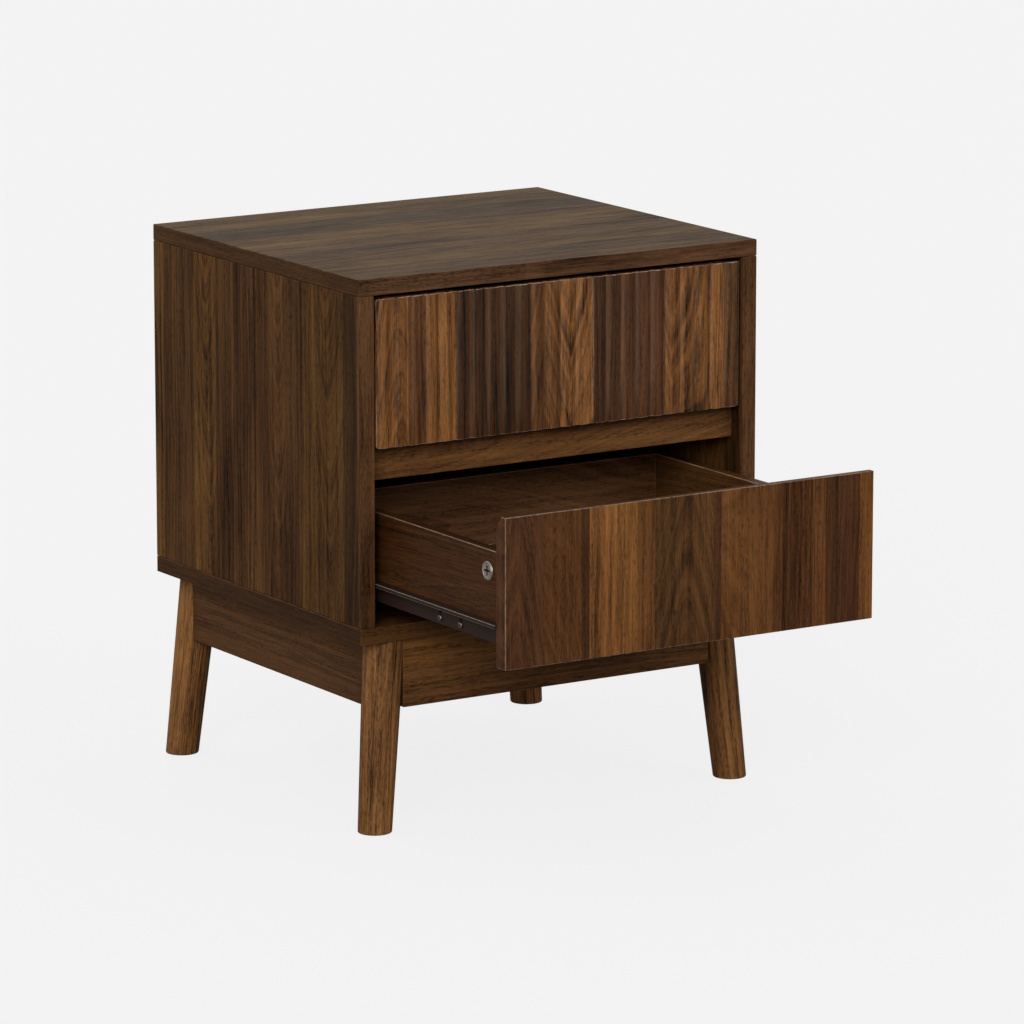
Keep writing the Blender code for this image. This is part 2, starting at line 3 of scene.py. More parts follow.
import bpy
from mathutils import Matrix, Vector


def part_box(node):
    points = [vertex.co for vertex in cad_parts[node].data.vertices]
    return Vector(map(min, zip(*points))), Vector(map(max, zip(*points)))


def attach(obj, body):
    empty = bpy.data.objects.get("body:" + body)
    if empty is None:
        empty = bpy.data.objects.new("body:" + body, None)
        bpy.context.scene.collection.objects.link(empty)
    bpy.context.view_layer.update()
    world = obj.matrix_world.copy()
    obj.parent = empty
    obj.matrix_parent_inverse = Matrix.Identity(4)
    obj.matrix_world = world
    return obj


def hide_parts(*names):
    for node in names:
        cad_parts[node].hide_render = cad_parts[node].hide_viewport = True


bl_info = {
    "name": "Walnut Nightstand",
    "version": (1, 0, 0),
    "blender": (4, 5, 0),
    "location": "View3D > Sidebar > Nightstand",
    "description": "Dresses the nightstand frame in walnut laminate and plated fittings",
    "category": "Object",
}

import math
import random

import bmesh
import bpy
from bpy.props import FloatProperty, FloatVectorProperty, IntProperty, PointerProperty
from mathutils import Matrix, Vector

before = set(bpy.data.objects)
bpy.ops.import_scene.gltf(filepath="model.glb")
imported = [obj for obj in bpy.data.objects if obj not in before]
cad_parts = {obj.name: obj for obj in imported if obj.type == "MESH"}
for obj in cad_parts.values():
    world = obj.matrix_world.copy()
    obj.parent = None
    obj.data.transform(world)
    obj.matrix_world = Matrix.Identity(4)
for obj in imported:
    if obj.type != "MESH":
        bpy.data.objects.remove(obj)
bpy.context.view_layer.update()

# How close points count as one, and as lying on a face, in metres.
MERGE = 1e-6
TOUCH = 2e-5
# Faces flatter to each other than the first angle are joined; past the second their edge is sharp.
FLAT_ANGLE = math.radians(0.4)
CREASE_ANGLE = math.radians(18)
# A direction's share along an axis, from which it counts as running along it.
UPRIGHT = 0.9
# Play round a drawer's bottom in its groove, and the rim that the groove is cut inside of.
GROOVE_GAP = 0.0003
GROOVE_INSET = 0.0005
# Faces across a front's rounded corner and round a foot.
CORNER_STEPS = 5
FOOT_STEPS = 3

AXES = {"x": Vector((1, 0, 0)), "y": Vector((0, 1, 0)), "z": Vector((0, 0, 1))}
SIDES = {"left": -1, "right": 1}
LEVELS = ("upper", "lower")

# The finishes of a board: its faces, the bands across the ends of its grain, its edge lines. The
# edge lines are painted lighter: partly the laminate's pale edge, partly painted highlight.
FACE, BAND, LINE = 0, 1, 2

# Layers of the walnut grain: their scale across, along and through the board, in turns per
# metre, and their share in its lightness. The figure runs along rings instead.
GRAIN_SCALES = {"wander": (9, 2.2, 9), "fibre": (620, 22, 620), "streak": (150, 2.4, 150),
                "cloud": (22, 4.5, 22), "fleck": (1000, 150, 1000)}
GRAIN_SHARES = {"figure": 0.48, "fibre": 0.50, "streak": 0.30, "cloud": 0.54}
GRAIN_MIDDLE = 0.91
GRAIN_LIGHT = 1.14
RINGS_PER_METRE = 210
RING_ROUNDING = 0.00012
WANDER_REACH = 0.040
PORE_SHADE = 0.42
COAT_ROUGHNESS = 0.22

# Strips of a board without a print of its own: their widths in metres, the share of them with
# arches, and the most that a colour ramp takes.
STRIP_WIDTHS = (0.035, 0.085)
ARCHED_SHARE = 0.4
MOST_STRIPS = 30
BAND_SPAN = 0.1
BAND_SEED = 3.1

# Layers of a metal or plastic finish: their scale along each axis, in turns per metre.
METAL_SCALES = {"cloud": (160, 160, 160), "scratch": (2600, 90, 2600),
                "grit": (1800, 1800, 1800)}

# Each strip of the walnut print: where it starts across the board, its tone, and where across
# the board its arches are centred. A centre far from the strip leaves its grain straight.
PRINTS = {
    "upper_front": (
        (0.000, "honey", 0.06), (0.042, "sand", 0.06), (0.085, "russet", 0.9),
        (0.130, "sand", 0.8), (0.168, "honey", 0.8), (0.213, "umber", 1.0), (0.335, "pitch", 1.0),
        (0.415, "russet", 0.50), (0.450, "tan", 0.44), (0.500, "amber", 0.44),
        (0.587, "umber", 0.1), (0.660, "plum", 0.1), (0.785, "sand", 0.72),
        (0.835, "honey", 0.72), (0.915, "amber", 0.2), (0.955, "olive", 0.2),
    ),
    "lower_front": (
        (0.000, "plum", 0.02), (0.100, "russet", 0.02), (0.200, "umber", 0.9),
        (0.222, "amber", 0.9), (0.295, "honey", 0.9), (0.350, "copper", 0.9),
        (0.395, "bark", 0.49), (0.450, "olive", 0.49), (0.555, "plum", 0.1),
        (0.578, "copper", 0.48), (0.745, "russet", 0.2), (0.790, "copper", 0.1),
        (0.865, "umber", 0.2), (0.900, "plum", 0.2), (0.958, "sand", 0.1),
    ),
    "side": (
        (0.000, "edge", 0.9), (0.008, "soot", 0.9), (0.078, "moss", 0.145),
        (0.200, "moss", 0.9), (0.270, "bark", 0.9), (0.350, "olive", 0.39),
        (0.420, "bark", 0.1), (0.465, "olive", 0.1), (0.535, "bark", 0.1),
        (0.690, "wheat", 0.745), (0.800, "bark", 0.1), (0.955, "wheat", 0.1),
    ),
    "top": (
        (0.000, "brow", 0.9), (0.004, "fern", 0.9), (0.150, "sage", 0.9), (0.250, "fern", 0.35),
        (0.420, "sage", 0.1), (0.640, "fern", 0.1), (0.690, "slate", 0.1), (0.820, "sage", 0.1),
    ),
}


# ---- Settings a user would change ----------------------------------------------------------
def colour_setting(name, description, default):
    """One tone of a finish, as linear colour."""
    return FloatVectorProperty(name=name, description=description, default=default,
                               subtype="COLOR", size=3, min=0.0, max=1.0)


class NIGHTSTAND_PG_walnut(bpy.types.PropertyGroup):
    """Tones and relief of the walnut print."""

    amber: colour_setting("Amber", "Brightest strips", (0.230, 0.0925, 0.0262))
    honey: colour_setting("Honey", "Bright strips", (0.198, 0.0780, 0.0210))
    sand: colour_setting("Sand", "Very light strips", (0.174, 0.0670, 0.0180))
    tan: colour_setting("Tan", "Light strips", (0.148, 0.0570, 0.0150))
    copper: colour_setting("Copper", "Light reddish strips", (0.125, 0.0470, 0.0135))
    chestnut: colour_setting("Chestnut", "Middle strips", (0.100, 0.0399, 0.0108))
    olive: colour_setting("Olive", "Greenish middle strips", (0.096, 0.0400, 0.0125))
    russet: colour_setting("Russet", "Reddish dark strips", (0.094, 0.0345, 0.0100))
    moss: colour_setting("Moss", "Light olive strips", (0.101, 0.0440, 0.0118))
    wheat: colour_setting("Wheat", "Lightest strips of the sides", (0.126, 0.0550, 0.0148))
    bark: colour_setting("Bark", "Dull strips of the sides", (0.080, 0.0335, 0.0105))
    soot: colour_setting("Soot", "Darkest strip of the sides", (0.047, 0.0212, 0.0075))
    sage: colour_setting("Sage", "Lighter strips of the top", (0.102, 0.0515, 0.0125))
    fern: colour_setting("Fern", "Darker strips of the top", (0.082, 0.0400, 0.0112))
    slate: colour_setting("Slate", "Dark greyish strips", (0.058, 0.0310, 0.0100))
    umber: colour_setting("Umber", "Dark strips", (0.060, 0.0228, 0.0074))
    pitch: colour_setting("Pitch", "Nearly black strips", (0.047, 0.0175, 0.0058))
    plum: colour_setting("Plum", "Very dark reddish strips", (0.072, 0.0265, 0.0098))
    edge: colour_setting("Edge", "Front edges of the cabinet", (0.098, 0.0425, 0.0173))
    brow: colour_setting("Brow", "Front edge of the top", (0.106, 0.0490, 0.0235))
    leg: colour_setting("Leg", "Turned legs", (0.230, 0.1010, 0.0320))
    # Pale edge tone with painted highlight: the light lines along the drawers' eased edges are
    # partly the laminate's pale edge, partly painted highlight.
    pale_edge_and_glint: colour_setting("Cream", "Worn lines along the drawers' edges", (0.34, 0.212, 0.138))
    relief: FloatProperty(name="Relief", description="Depth of the embossed pores",
                          default=0.00006, min=0.0, max=0.001, unit="LENGTH", precision=5)


class NIGHTSTAND_PG_boards(bpy.types.PropertyGroup):
    """Shapes of the boards."""

    ease: FloatProperty(name="Eased edge", description="Rounding along each board's edges",
                        default=0.0007, min=0.0001, max=0.003, unit="LENGTH", precision=4)
    ease_steps: IntProperty(name="Edge steps", description="Faces across each rounded edge",
                            default=2, min=1, max=6)
    corner: FloatProperty(name="Front corner", description="Rounding of the upper front's outline",
                          default=0.0030, min=0.0005, max=0.02, unit="LENGTH", precision=4)
    ribs: IntProperty(name="Ribs", description="Ribs across the upper front", default=24, min=2,
                      max=60)
    rib_depth: FloatProperty(name="Rib depth", description="Depth of the valleys between ribs",
                             default=0.0022, min=0.0, max=0.005, unit="LENGTH", precision=4)
    rib_steps: IntProperty(name="Rib steps", description="Faces across each rib", default=10,
                           min=4, max=24)
    pull_depth: FloatProperty(name="Pull depth", description="Reach of the sloping finger pull",
                              default=0.0095, min=0.001, max=0.014, unit="LENGTH", precision=4)
    pull_drop: FloatProperty(name="Pull drop", description="Height of the sloping finger pull",
                             default=0.0114, min=0.001, max=0.03, unit="LENGTH", precision=4)
    foot: FloatProperty(name="Foot rounding", description="Rounding around the foot of a leg",
                        default=0.0012, min=0.0002, max=0.005, unit="LENGTH", precision=4)


class NIGHTSTAND_PG_fittings(bpy.types.PropertyGroup):
    """Finishes of the metal and plastic fittings."""

    screw: colour_setting("Screw", "Slide screws", (0.24, 0.20, 0.17))
    nickel: colour_setting("Nickel", "Cam locks", (0.50, 0.46, 0.39))
    zinc: colour_setting("Zinc", "Brackets and bolts", (0.52, 0.53, 0.55))
    epoxy: colour_setting("Epoxy", "Coated slides", (0.034, 0.0170, 0.0120))
    # Painted shade: the cam locks' cross recesses are coloured dark for the shade inside them.
    recess: colour_setting("Recess", "Crosses of the cam locks", (0.05, 0.045, 0.04))
    # Painted highlight: the light colour on the rounded lips of the slides.
    worn: colour_setting("Worn edge", "Painted highlight along the slides' lips", (0.33, 0.26, 0.21))
    lip: FloatProperty(name="Lip rounding", description="Rounding along the lip of a slide",
                       default=0.0004, min=0.0001, max=0.0005, unit="LENGTH", precision=5)
    nylon: colour_setting("Nylon", "Rollers", (0.62, 0.58, 0.48))


class NIGHTSTAND_PG_stage(bpy.types.PropertyGroup):
    """Camera, floor and light."""

    azimuth: FloatProperty(name="Azimuth", description="Direction of the camera",
                           default=math.radians(-32.3329), subtype="ANGLE", unit="ROTATION")
    elevation: FloatProperty(name="Elevation", description="Height of the camera",
                             default=math.radians(11.7401), subtype="ANGLE", unit="ROTATION")
    distance: FloatProperty(name="Distance", description="Camera to the middle of the cabinet",
                            default=6.1151, min=1.0, unit="LENGTH")
    lens: FloatProperty(name="Lens", description="Focal length in millimetres", default=217.96,
                        min=20.0)
    floor: colour_setting("Floor", "Floor and backdrop", (0.888, 0.888, 0.888))
    sky: FloatProperty(name="Sky", description="Strength of the light from all round",
                       default=0.80, min=0.0)
    key: FloatProperty(name="Key", description="Strength of the light on the left", default=1.45,
                       min=0.0)
    side: FloatProperty(name="Side", description="Strength of the light on the right",
                        default=0.60, min=0.0)
    strip: FloatProperty(name="Strip", description="Power of the tall soft box on the ribs",
                         default=1.35, min=0.0)


# ---- Shader nodes --------------------------------------------------------------------------
def add_node(tree, kind, values=None, **settings):
    """A node with its settings and its input values; a socket given as a value is linked."""
    node = tree.nodes.new(kind)
    for key, value in settings.items():
        setattr(node, key, value)
    for key, value in (values or {}).items():
        if isinstance(value, bpy.types.NodeSocket):
            tree.links.new(value, node.inputs[key])
        else:
            node.inputs[key].default_value = value
    return node


def calculate(tree, operation, first, second=0.0, third=0.0):
    """Socket with the result of one calculation."""
    return add_node(tree, "ShaderNodeMath", {0: first, 1: second, 2: third},
                    operation=operation).outputs[0]


def remap(tree, value, low, high, to_low, to_high, smooth=False):
    """Socket with a value carried from one range to another, and held inside it."""
    kind = "SMOOTHSTEP" if smooth else "LINEAR"
    return add_node(tree, "ShaderNodeMapRange", {"Value": value, "From Min": low, "From Max": high,
                                                 "To Min": to_low, "To Max": to_high},
                    interpolation_type=kind).outputs["Result"]


def stretched_noise(tree, vector, scale, detail, roughness=0.5):
    """Noise with its own scale along each axis, in turns per metre."""
    mapped = add_node(tree, "ShaderNodeMapping", {"Vector": vector, "Scale": scale})
    return add_node(tree, "ShaderNodeTexNoise", {"Vector": mapped.outputs[0], "Scale": 1.0,
                                                 "Detail": detail, "Roughness": roughness}
                    ).outputs[0]


def tint(tree, colour, factor):
    """Colour multiplied by a value."""
    return add_node(tree, "ShaderNodeVectorMath", {0: colour, "Scale": factor},
                    operation="SCALE").outputs[0]


def new_group(name, inputs, outputs):
    """Shader node group with named sockets; returns it with its two end nodes."""
    group = bpy.data.node_groups.new(name, "ShaderNodeTree")
    for label, kind in inputs:
        group.interface.new_socket(label, in_out="INPUT", socket_type="NodeSocket" + kind)
    for label, kind in outputs:
        group.interface.new_socket(label, in_out="OUTPUT", socket_type="NodeSocket" + kind)
    return group, group.nodes.new("NodeGroupInput"), group.nodes.new("NodeGroupOutput")


def walnut_group():
    """Walnut grain on a given tone. X runs across the grain and Y along it, in metres."""
    name = "Walnut grain"
    if name in bpy.data.node_groups:
        return bpy.data.node_groups[name]
    group, entry, leave = new_group(
        name, (("Vector", "Vector"), ("Tone", "Color"), ("Arch Offset", "Float"),
               ("Seed", "Float"), ("Contrast", "Float"), ("Rise", "Float")),
        (("Color", "Color"), ("Roughness", "Float"), ("Height", "Float")))
    shift = add_node(group, "ShaderNodeCombineXYZ", {0: entry.outputs["Seed"],
                                                     2: entry.outputs["Seed"]})
    spot = add_node(group, "ShaderNodeVectorMath",
                    {0: entry.outputs["Vector"], 1: shift.outputs[0]}, operation="ADD").outputs[0]
    along = add_node(group, "ShaderNodeSeparateXYZ", {0: entry.outputs["Vector"]}).outputs["Y"]

    wander = stretched_noise(group, spot, GRAIN_SCALES["wander"], 2)
    bend = calculate(group, "MULTIPLY_ADD", wander, WANDER_REACH, -WANDER_REACH / 2)
    offset = entry.outputs["Arch Offset"]
    across = calculate(group, "ADD", offset, bend)
    # Arches point along the grain near their centre; further out the rings run straight.
    near = calculate(group, "MULTIPLY", entry.outputs["Rise"],
                     remap(group, calculate(group, "ABSOLUTE", offset), 0.035, 0.100, 0.20, 0.0))
    spread = calculate(group, "SQRT",
                       calculate(group, "MULTIPLY_ADD", across, across, RING_ROUNDING))
    ring = calculate(group, "MULTIPLY", calculate(group, "MULTIPLY_ADD", along, near, spread),
                     RINGS_PER_METRE)
    lines = add_node(group, "ShaderNodeTexNoise", {"W": ring, "Scale": 1.0, "Detail": 3.0,
                                                   "Roughness": 0.62}, noise_dimensions="1D")
    figure = remap(group, lines.outputs[0], 0.34, 0.66, 0.0, 1.0)
    fibre = remap(group, stretched_noise(group, spot, GRAIN_SCALES["fibre"], 3, 0.75),
                  0.38, 0.62, 0.0, 1.0)
    streak = remap(group, stretched_noise(group, spot, GRAIN_SCALES["streak"], 2),
                   0.36, 0.64, 0.0, 1.0)
    cloud = remap(group, stretched_noise(group, spot, GRAIN_SCALES["cloud"], 3),
                  0.34, 0.66, 0.0, 1.0)
    # Pores are dark flecks, and the dark streaks have more of them.
    fleck = stretched_noise(group, spot, GRAIN_SCALES["fleck"], 2)
    pore = calculate(group, "MULTIPLY", remap(group, fleck, 0.49, 0.63, 0.0, 1.0, smooth=True),
                     remap(group, streak, 0.0, 1.0, 1.25, 0.35))

    mix = calculate(group, "MULTIPLY", cloud, GRAIN_SHARES["cloud"])
    for layer, share in ((streak, "streak"), (fibre, "fibre"), (figure, "figure")):
        mix = calculate(group, "MULTIPLY_ADD", layer, GRAIN_SHARES[share], mix)
    light = calculate(group, "MULTIPLY_ADD", calculate(group, "SUBTRACT", mix, GRAIN_MIDDLE),
                      entry.outputs["Contrast"], GRAIN_LIGHT)
    dulled = calculate(group, "MULTIPLY_ADD", pore, -PORE_SHADE, 1.0)
    light = calculate(group, "MULTIPLY", light, dulled)
    # The colour sockets of a mix node are its seventh and eighth inputs.
    warm = add_node(group, "ShaderNodeMix", {"Factor": cloud}, data_type="RGBA")
    warm.inputs[6].default_value = (1.03, 0.98, 0.98, 1)
    warm.inputs[7].default_value = (0.98, 1.02, 1.00, 1)
    shade = add_node(group, "ShaderNodeVectorMath", {0: entry.outputs["Tone"],
                                                     1: warm.outputs[2]}, operation="MULTIPLY")
    group.links.new(tint(group, shade.outputs[0], light), leave.inputs["Color"])
    group.links.new(remap(group, fibre, 0.0, 1.0, 0.52, 0.40), leave.inputs["Roughness"])
    group.links.new(calculate(group, "SUBTRACT", calculate(group, "MULTIPLY", fibre, 0.5), pore),
                    leave.inputs["Height"])
    return group


def new_material(name, metallic=0.0, specular=0.5):
    """Material with its tree and its shader."""
    material = bpy.data.materials.new(name)
    material.use_nodes = True
    shader = material.node_tree.nodes["Principled BSDF"]
    shader.inputs["Metallic"].default_value = metallic
    shader.inputs["Specular IOR Level"].default_value = specular
    return material, material.node_tree, shader


def feed_shader(tree, shader, look, relief):
    """Feed a shader from a finish's group; relief is the height of its bumps in metres."""
    bump = add_node(tree, "ShaderNodeBump", {"Height": look.outputs["Height"], "Strength": 1.0,
                                             "Distance": relief})
    tree.links.new(look.outputs["Color"], shader.inputs["Base Color"])
    tree.links.new(look.outputs["Roughness"], shader.inputs["Roughness"])
    tree.links.new(bump.outputs[0], shader.inputs["Normal"])


def place_pattern(tree, across, along, start, lean):
    """Coordinates whose X runs across the grain from the start of the board, and Y along it.

    A lean, where there is one, is the direction that the grain follows instead of an axis.
    """
    v = lean or AXES[along]
    u = (AXES[across] - v * v.dot(AXES[across])).normalized()
    turn = Matrix((u, v, u.cross(v))).to_euler()
    coordinate = add_node(tree, "ShaderNodeTexCoord")
    return add_node(tree, "ShaderNodeMapping", {"Vector": coordinate.outputs["Object"],
                                                "Rotation": turn, "Location": (-start, 0, 0)}
                    ).outputs[0]


def walnut_material(name, across, along, start, span, strips, seed=0.0, lift=1.0, contrast=1.0,
                    specular=0.12, coat=0.0, rise=1.0, lean=None):
    """Walnut print whose strips lie side by side across a board.

    Rise is how strongly the arches point along the grain, and lean a direction for the grain.
    """
    tones = bpy.context.scene.nightstand_walnut
    material, tree, shader = new_material(name, specular=specular)
    shader.inputs["Coat Weight"].default_value = coat
    shader.inputs["Coat Roughness"].default_value = COAT_ROUGHNESS
    vector = place_pattern(tree, across, along, start, lean)
    u = add_node(tree, "ShaderNodeSeparateXYZ", {0: vector}).outputs["X"]
    share = calculate(tree, "DIVIDE", u, span)
    ramp = add_node(tree, "ShaderNodeValToRGB", {"Fac": share})
    ramp.color_ramp.interpolation = "CONSTANT"
    stops = ramp.color_ramp.elements
    for number, (place, tone, centre) in enumerate(strips):
        # A new ramp already has two stops.
        stop = stops[number] if number < 2 else stops.new(place)
        stop.position = place
        stop.color = (*(lift * value for value in getattr(tones, tone)), centre)
    offset = calculate(tree, "MULTIPLY", calculate(tree, "SUBTRACT", share,
                                                   ramp.outputs["Alpha"]), span)
    grain = add_node(tree, "ShaderNodeGroup", node_tree=walnut_group())
    for key, value in (("Vector", vector), ("Tone", ramp.outputs["Color"]),
                       ("Arch Offset", offset)):
        tree.links.new(value, grain.inputs[key])
    grain.inputs["Seed"].default_value = seed
    grain.inputs["Contrast"].default_value = contrast
    grain.inputs["Rise"].default_value = rise
    feed_shader(tree, shader, grain, tones.relief)
    return material


def one_tone(tone, centre=1.0):
    """The same tone all the way across a board."""
    return (0.0, tone, centre), (1.0, tone, centre)


def plain_strips(span, seed):
    """A run of strips for a board that has no print of its own."""
    source = random.Random(seed)
    strips, place = [], 0.0
    while place < 1.0 and len(strips) < MOST_STRIPS:
        tone = source.choice(("chestnut", "olive", "russet", "umber", "chestnut", "tan"))
        if source.random() < ARCHED_SHARE:
            centre = min(max(place + source.uniform(-0.1, 0.3), 0.0), 1.0)
        else:
            centre = source.choice((0, 1))
        strips.append((place, tone, centre))
        place += source.uniform(*STRIP_WIDTHS) / span
    if len(strips) < 2:
        strips.append((1.0, strips[0][1], strips[0][2]))
    return strips


# ---- Mesh helpers --------------------------------------------------------------------------
def node_copy(name):
    """Mesh of a frame node with its triangles joined and its flat faces whole."""
    shape = bmesh.new()
    shape.from_mesh(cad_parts[name].data)
    bmesh.ops.remove_doubles(shape, verts=shape.verts, dist=MERGE)
    bmesh.ops.dissolve_limit(shape, angle_limit=FLAT_ANGLE, verts=shape.verts, edges=shape.edges)
    return shape


def block(low, high):
    """Plain block between two corners."""
    shape = bmesh.new()
    bmesh.ops.create_cube(shape, size=1.0)
    bmesh.ops.scale(shape, vec=high - low, verts=shape.verts)
    bmesh.ops.translate(shape, vec=(low + high) / 2, verts=shape.verts)
    return shape


def span_of(shape):
    """Lowest and highest corners of a mesh."""
    low = Vector([min(v.co[i] for v in shape.verts) for i in range(3)])
    high = Vector([max(v.co[i] for v in shape.verts) for i in range(3)])
    return low, high


def round_edges(shape, edges, width, steps):
    """Round some edges and return the new faces."""
    made = bmesh.ops.bevel(shape, geom=edges, offset=width, offset_type="OFFSET",
                           affect="EDGES", segments=steps, profile=0.5, material=-1,
                           clamp_overlap=True)
    return made["faces"]


def ease_rim(shape):
    """Round the edges along the outside of a board, and give them the edge line's finish, which is
    painted lighter, partly as highlight.
    """
    settings = bpy.context.scene.nightstand_boards
    low, high = span_of(shape)

    def touches(edge):
        return sum(all(abs(v.co[axis] - limit[axis]) < TOUCH for v in edge.verts)
                   for axis in range(3) for limit in (low, high))

    rim = [edge for edge in shape.edges if touches(edge) >= 2]
    for face in round_edges(shape, rim, settings.ease, settings.ease_steps):
        face.material_index = LINE


def mark_bands(shape, along):
    """Give the ends of the grain the edge band's finish."""
    direction = AXES[along]
    for face in shape.faces:
        if face.material_index == FACE and abs(face.normal.dot(direction)) > UPRIGHT:
            face.material_index = BAND


def finish_piece(name, shape, body, node, materials):
    """Turn a mesh into a piece that rides on its body and stands for its frame node."""
    mesh = bpy.data.meshes.new(name)
    shape.to_mesh(mesh)
    shape.free()
    for material in materials:
        mesh.materials.append(material)
    mesh.shade_smooth()
    mesh.set_sharp_from_angle(angle=CREASE_ANGLE)
    piece = bpy.data.objects.new(name, mesh)
    bpy.context.scene.collection.objects.link(piece)
    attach(piece, body)
    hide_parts(node)


def board_materials(name, low, high, along, across, strips, seed, edge=1.05, line=None,
                    ends=0.65, **look):
    """The three finishes of one board; edge and ends lift the tone of its lines and bands. The
    lighter lines are partly painted highlight along the eased edges.
    """
    start, span = low.dot(AXES[across]), (high - low).dot(AXES[across])
    rest = next(axis for axis in AXES if axis not in (along, across))
    face = walnut_material(name + "_print", across, along, start, span, strips, seed, **look)
    band = walnut_material(name + "_band", rest, across, low.dot(AXES[rest]), BAND_SPAN,
                           one_tone("chestnut"), seed + BAND_SEED, lift=ends)
    # The edge lift paints the eased edges lighter, partly as highlight.
    line_look = {**look, "lift": look.get("lift", 1.0) * edge}
    rim = walnut_material(name + "_line", across, along, start, span,
                          one_tone(line) if line else strips, seed, **line_look)
    return face, band, rim


def make_board(name, node, body, along, across, strips, seed, slot="walnut", **look):
    """Eased board with its print, in place of a frame node."""
    shape = node_copy(node)
    low, high = span_of(shape)
    ease_rim(shape)
    mark_bands(shape, along)
    if strips is None:
        strips = plain_strips((high - low).dot(AXES[across]), name)
    materials = board_materials(name, low, high, along, across, strips, seed, **look)
    finish_piece(name, shape, body, node, materials)


def cut_away(shape, point, normal):
    """Take off what lies beyond a plane and close the cut."""
    everything = shape.verts[:] + shape.edges[:] + shape.faces[:]
    bmesh.ops.bisect_plane(shape, geom=everything, dist=MERGE, plane_co=point, plane_no=normal,
                           clear_outer=True)
    rim = [edge for edge in shape.edges if edge.is_boundary]
    bmesh.ops.holes_fill(shape, edges=rim, sides=0)


def sink_slot(shape, face, low, high, depth):
    """Sink a slot between two corners of a flat face."""
    bmesh.ops.inset_individual(shape, faces=[face], thickness=GROOVE_INSET, depth=0.0,
                               use_even_offset=True)
    old_low = Vector([min(v.co[i] for v in face.verts) for i in range(3)])
    old_high = Vector([max(v.co[i] for v in face.verts) for i in range(3)])
    for corner in face.verts:
        for axis in (0, 2):
            share = (corner.co[axis] - old_low[axis]) / (old_high[axis] - old_low[axis])
            corner.co[axis] = low[axis] + share * (high[axis] - low[axis])
    made = bmesh.ops.extrude_discrete_faces(shape, faces=[face])
    bmesh.ops.translate(shape, vec=(0, depth, 0), verts=made["faces"][0].verts)


def groove_front(shape, level, rear):
    """Sink the slot for a drawer's bottom into the rear of its front, whose plane is at rear."""
    back = max(shape.faces, key=lambda face: face.normal.y * face.calc_area())
    low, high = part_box(level + "_drawer_bottom")
    gap = Vector((GROOVE_GAP, 0, GROOVE_GAP))
    sink_slot(shape, back, low - gap, high + gap, low.y - GROOVE_GAP - rear)
    bmesh.ops.recalc_face_normals(shape, faces=shape.faces)


# ---- Pieces --------------------------------------------------------------------------------
class NIGHTSTAND_OT_carcass(bpy.types.Operator):
    """Make the cabinet's boards and the aprons"""

    bl_idname = "nightstand.carcass"
    bl_label = "Cabinet boards"

    def execute(self, context):
        make_board("top_board", "top_panel", "cabinet", "x", "y", PRINTS["top"], 1.3,
                   slot="walnut_top", specular=0.035, contrast=1.35)
        make_board("bottom_board", "bottom_panel", "cabinet", "x", "y", None, 2.1, ends=0.5)
        for side in SIDES:
            make_board(side + "_side_board", side + "_side_panel", "cabinet", "z", "y",
                       PRINTS["side"], 0.7 if side == "left" else 4.2, contrast=1.45,
                       specular=0.07, rise=-1.0)
        make_board("middle_rail_board", "middle_rail", "cabinet", "x", "z",
                   one_tone("olive", 0.7), 3.3, lift=1.42)
        # The front and back aprons are painted much lighter than the side aprons of the same
        # strips: painted light, lifting the front apron out of the open drawer's shade.
        for end in ("front", "back"):
            make_board(end + "_apron_board", end + "_apron", "cabinet", "x", "z",
                       ((0.0, "olive", 0.9), (0.55, "chestnut", 0.9)), 5.1, lift=1.6, rise=0.0)
        for side in SIDES:
            make_board(side + "_apron_board", side + "_apron", "cabinet", "y", "z",
                       ((0.0, "olive", 0.9), (0.62, "chestnut", 0.9)), 6.3, lift=0.93, rise=0.0)
        return {"FINISHED"}


class NIGHTSTAND_OT_legs(bpy.types.Operator):
    """Make the four turned legs"""

    bl_idname = "nightstand.legs"
    bl_label = "Legs"

    def execute(self, context):
        settings = context.scene.nightstand_boards
        for end in ("front", "back"):
            for side in SIDES:
                node = f"{end}_{side}_leg"
                shape = node_copy(node)
                foot = [edge for edge in shape.edges if all(v.co.z < TOUCH for v in edge.verts)]
                round_edges(shape, foot, settings.foot, FOOT_STEPS)
                low, high = span_of(shape)
                # The grain follows the line between the middles of the foot and of the top.
                ends = [[v.co for v in shape.verts if abs(v.co.z - height) < settings.foot * 2]
                        for height in (low.z, high.z)]
                bottom, top = (sum(corners, Vector()) / len(corners) for corners in ends)
                material = walnut_material(node + "_wood", "x", "z", low.x, high.x - low.x,
                                           one_tone("leg"), low.y * 9, contrast=1.6, rise=0.0,
                                           lean=(top - bottom).normalized())
                finish_piece(f"turned_{end}_{side}_leg", shape, "cabinet", node,
                             [material])
        return {"FINISHED"}


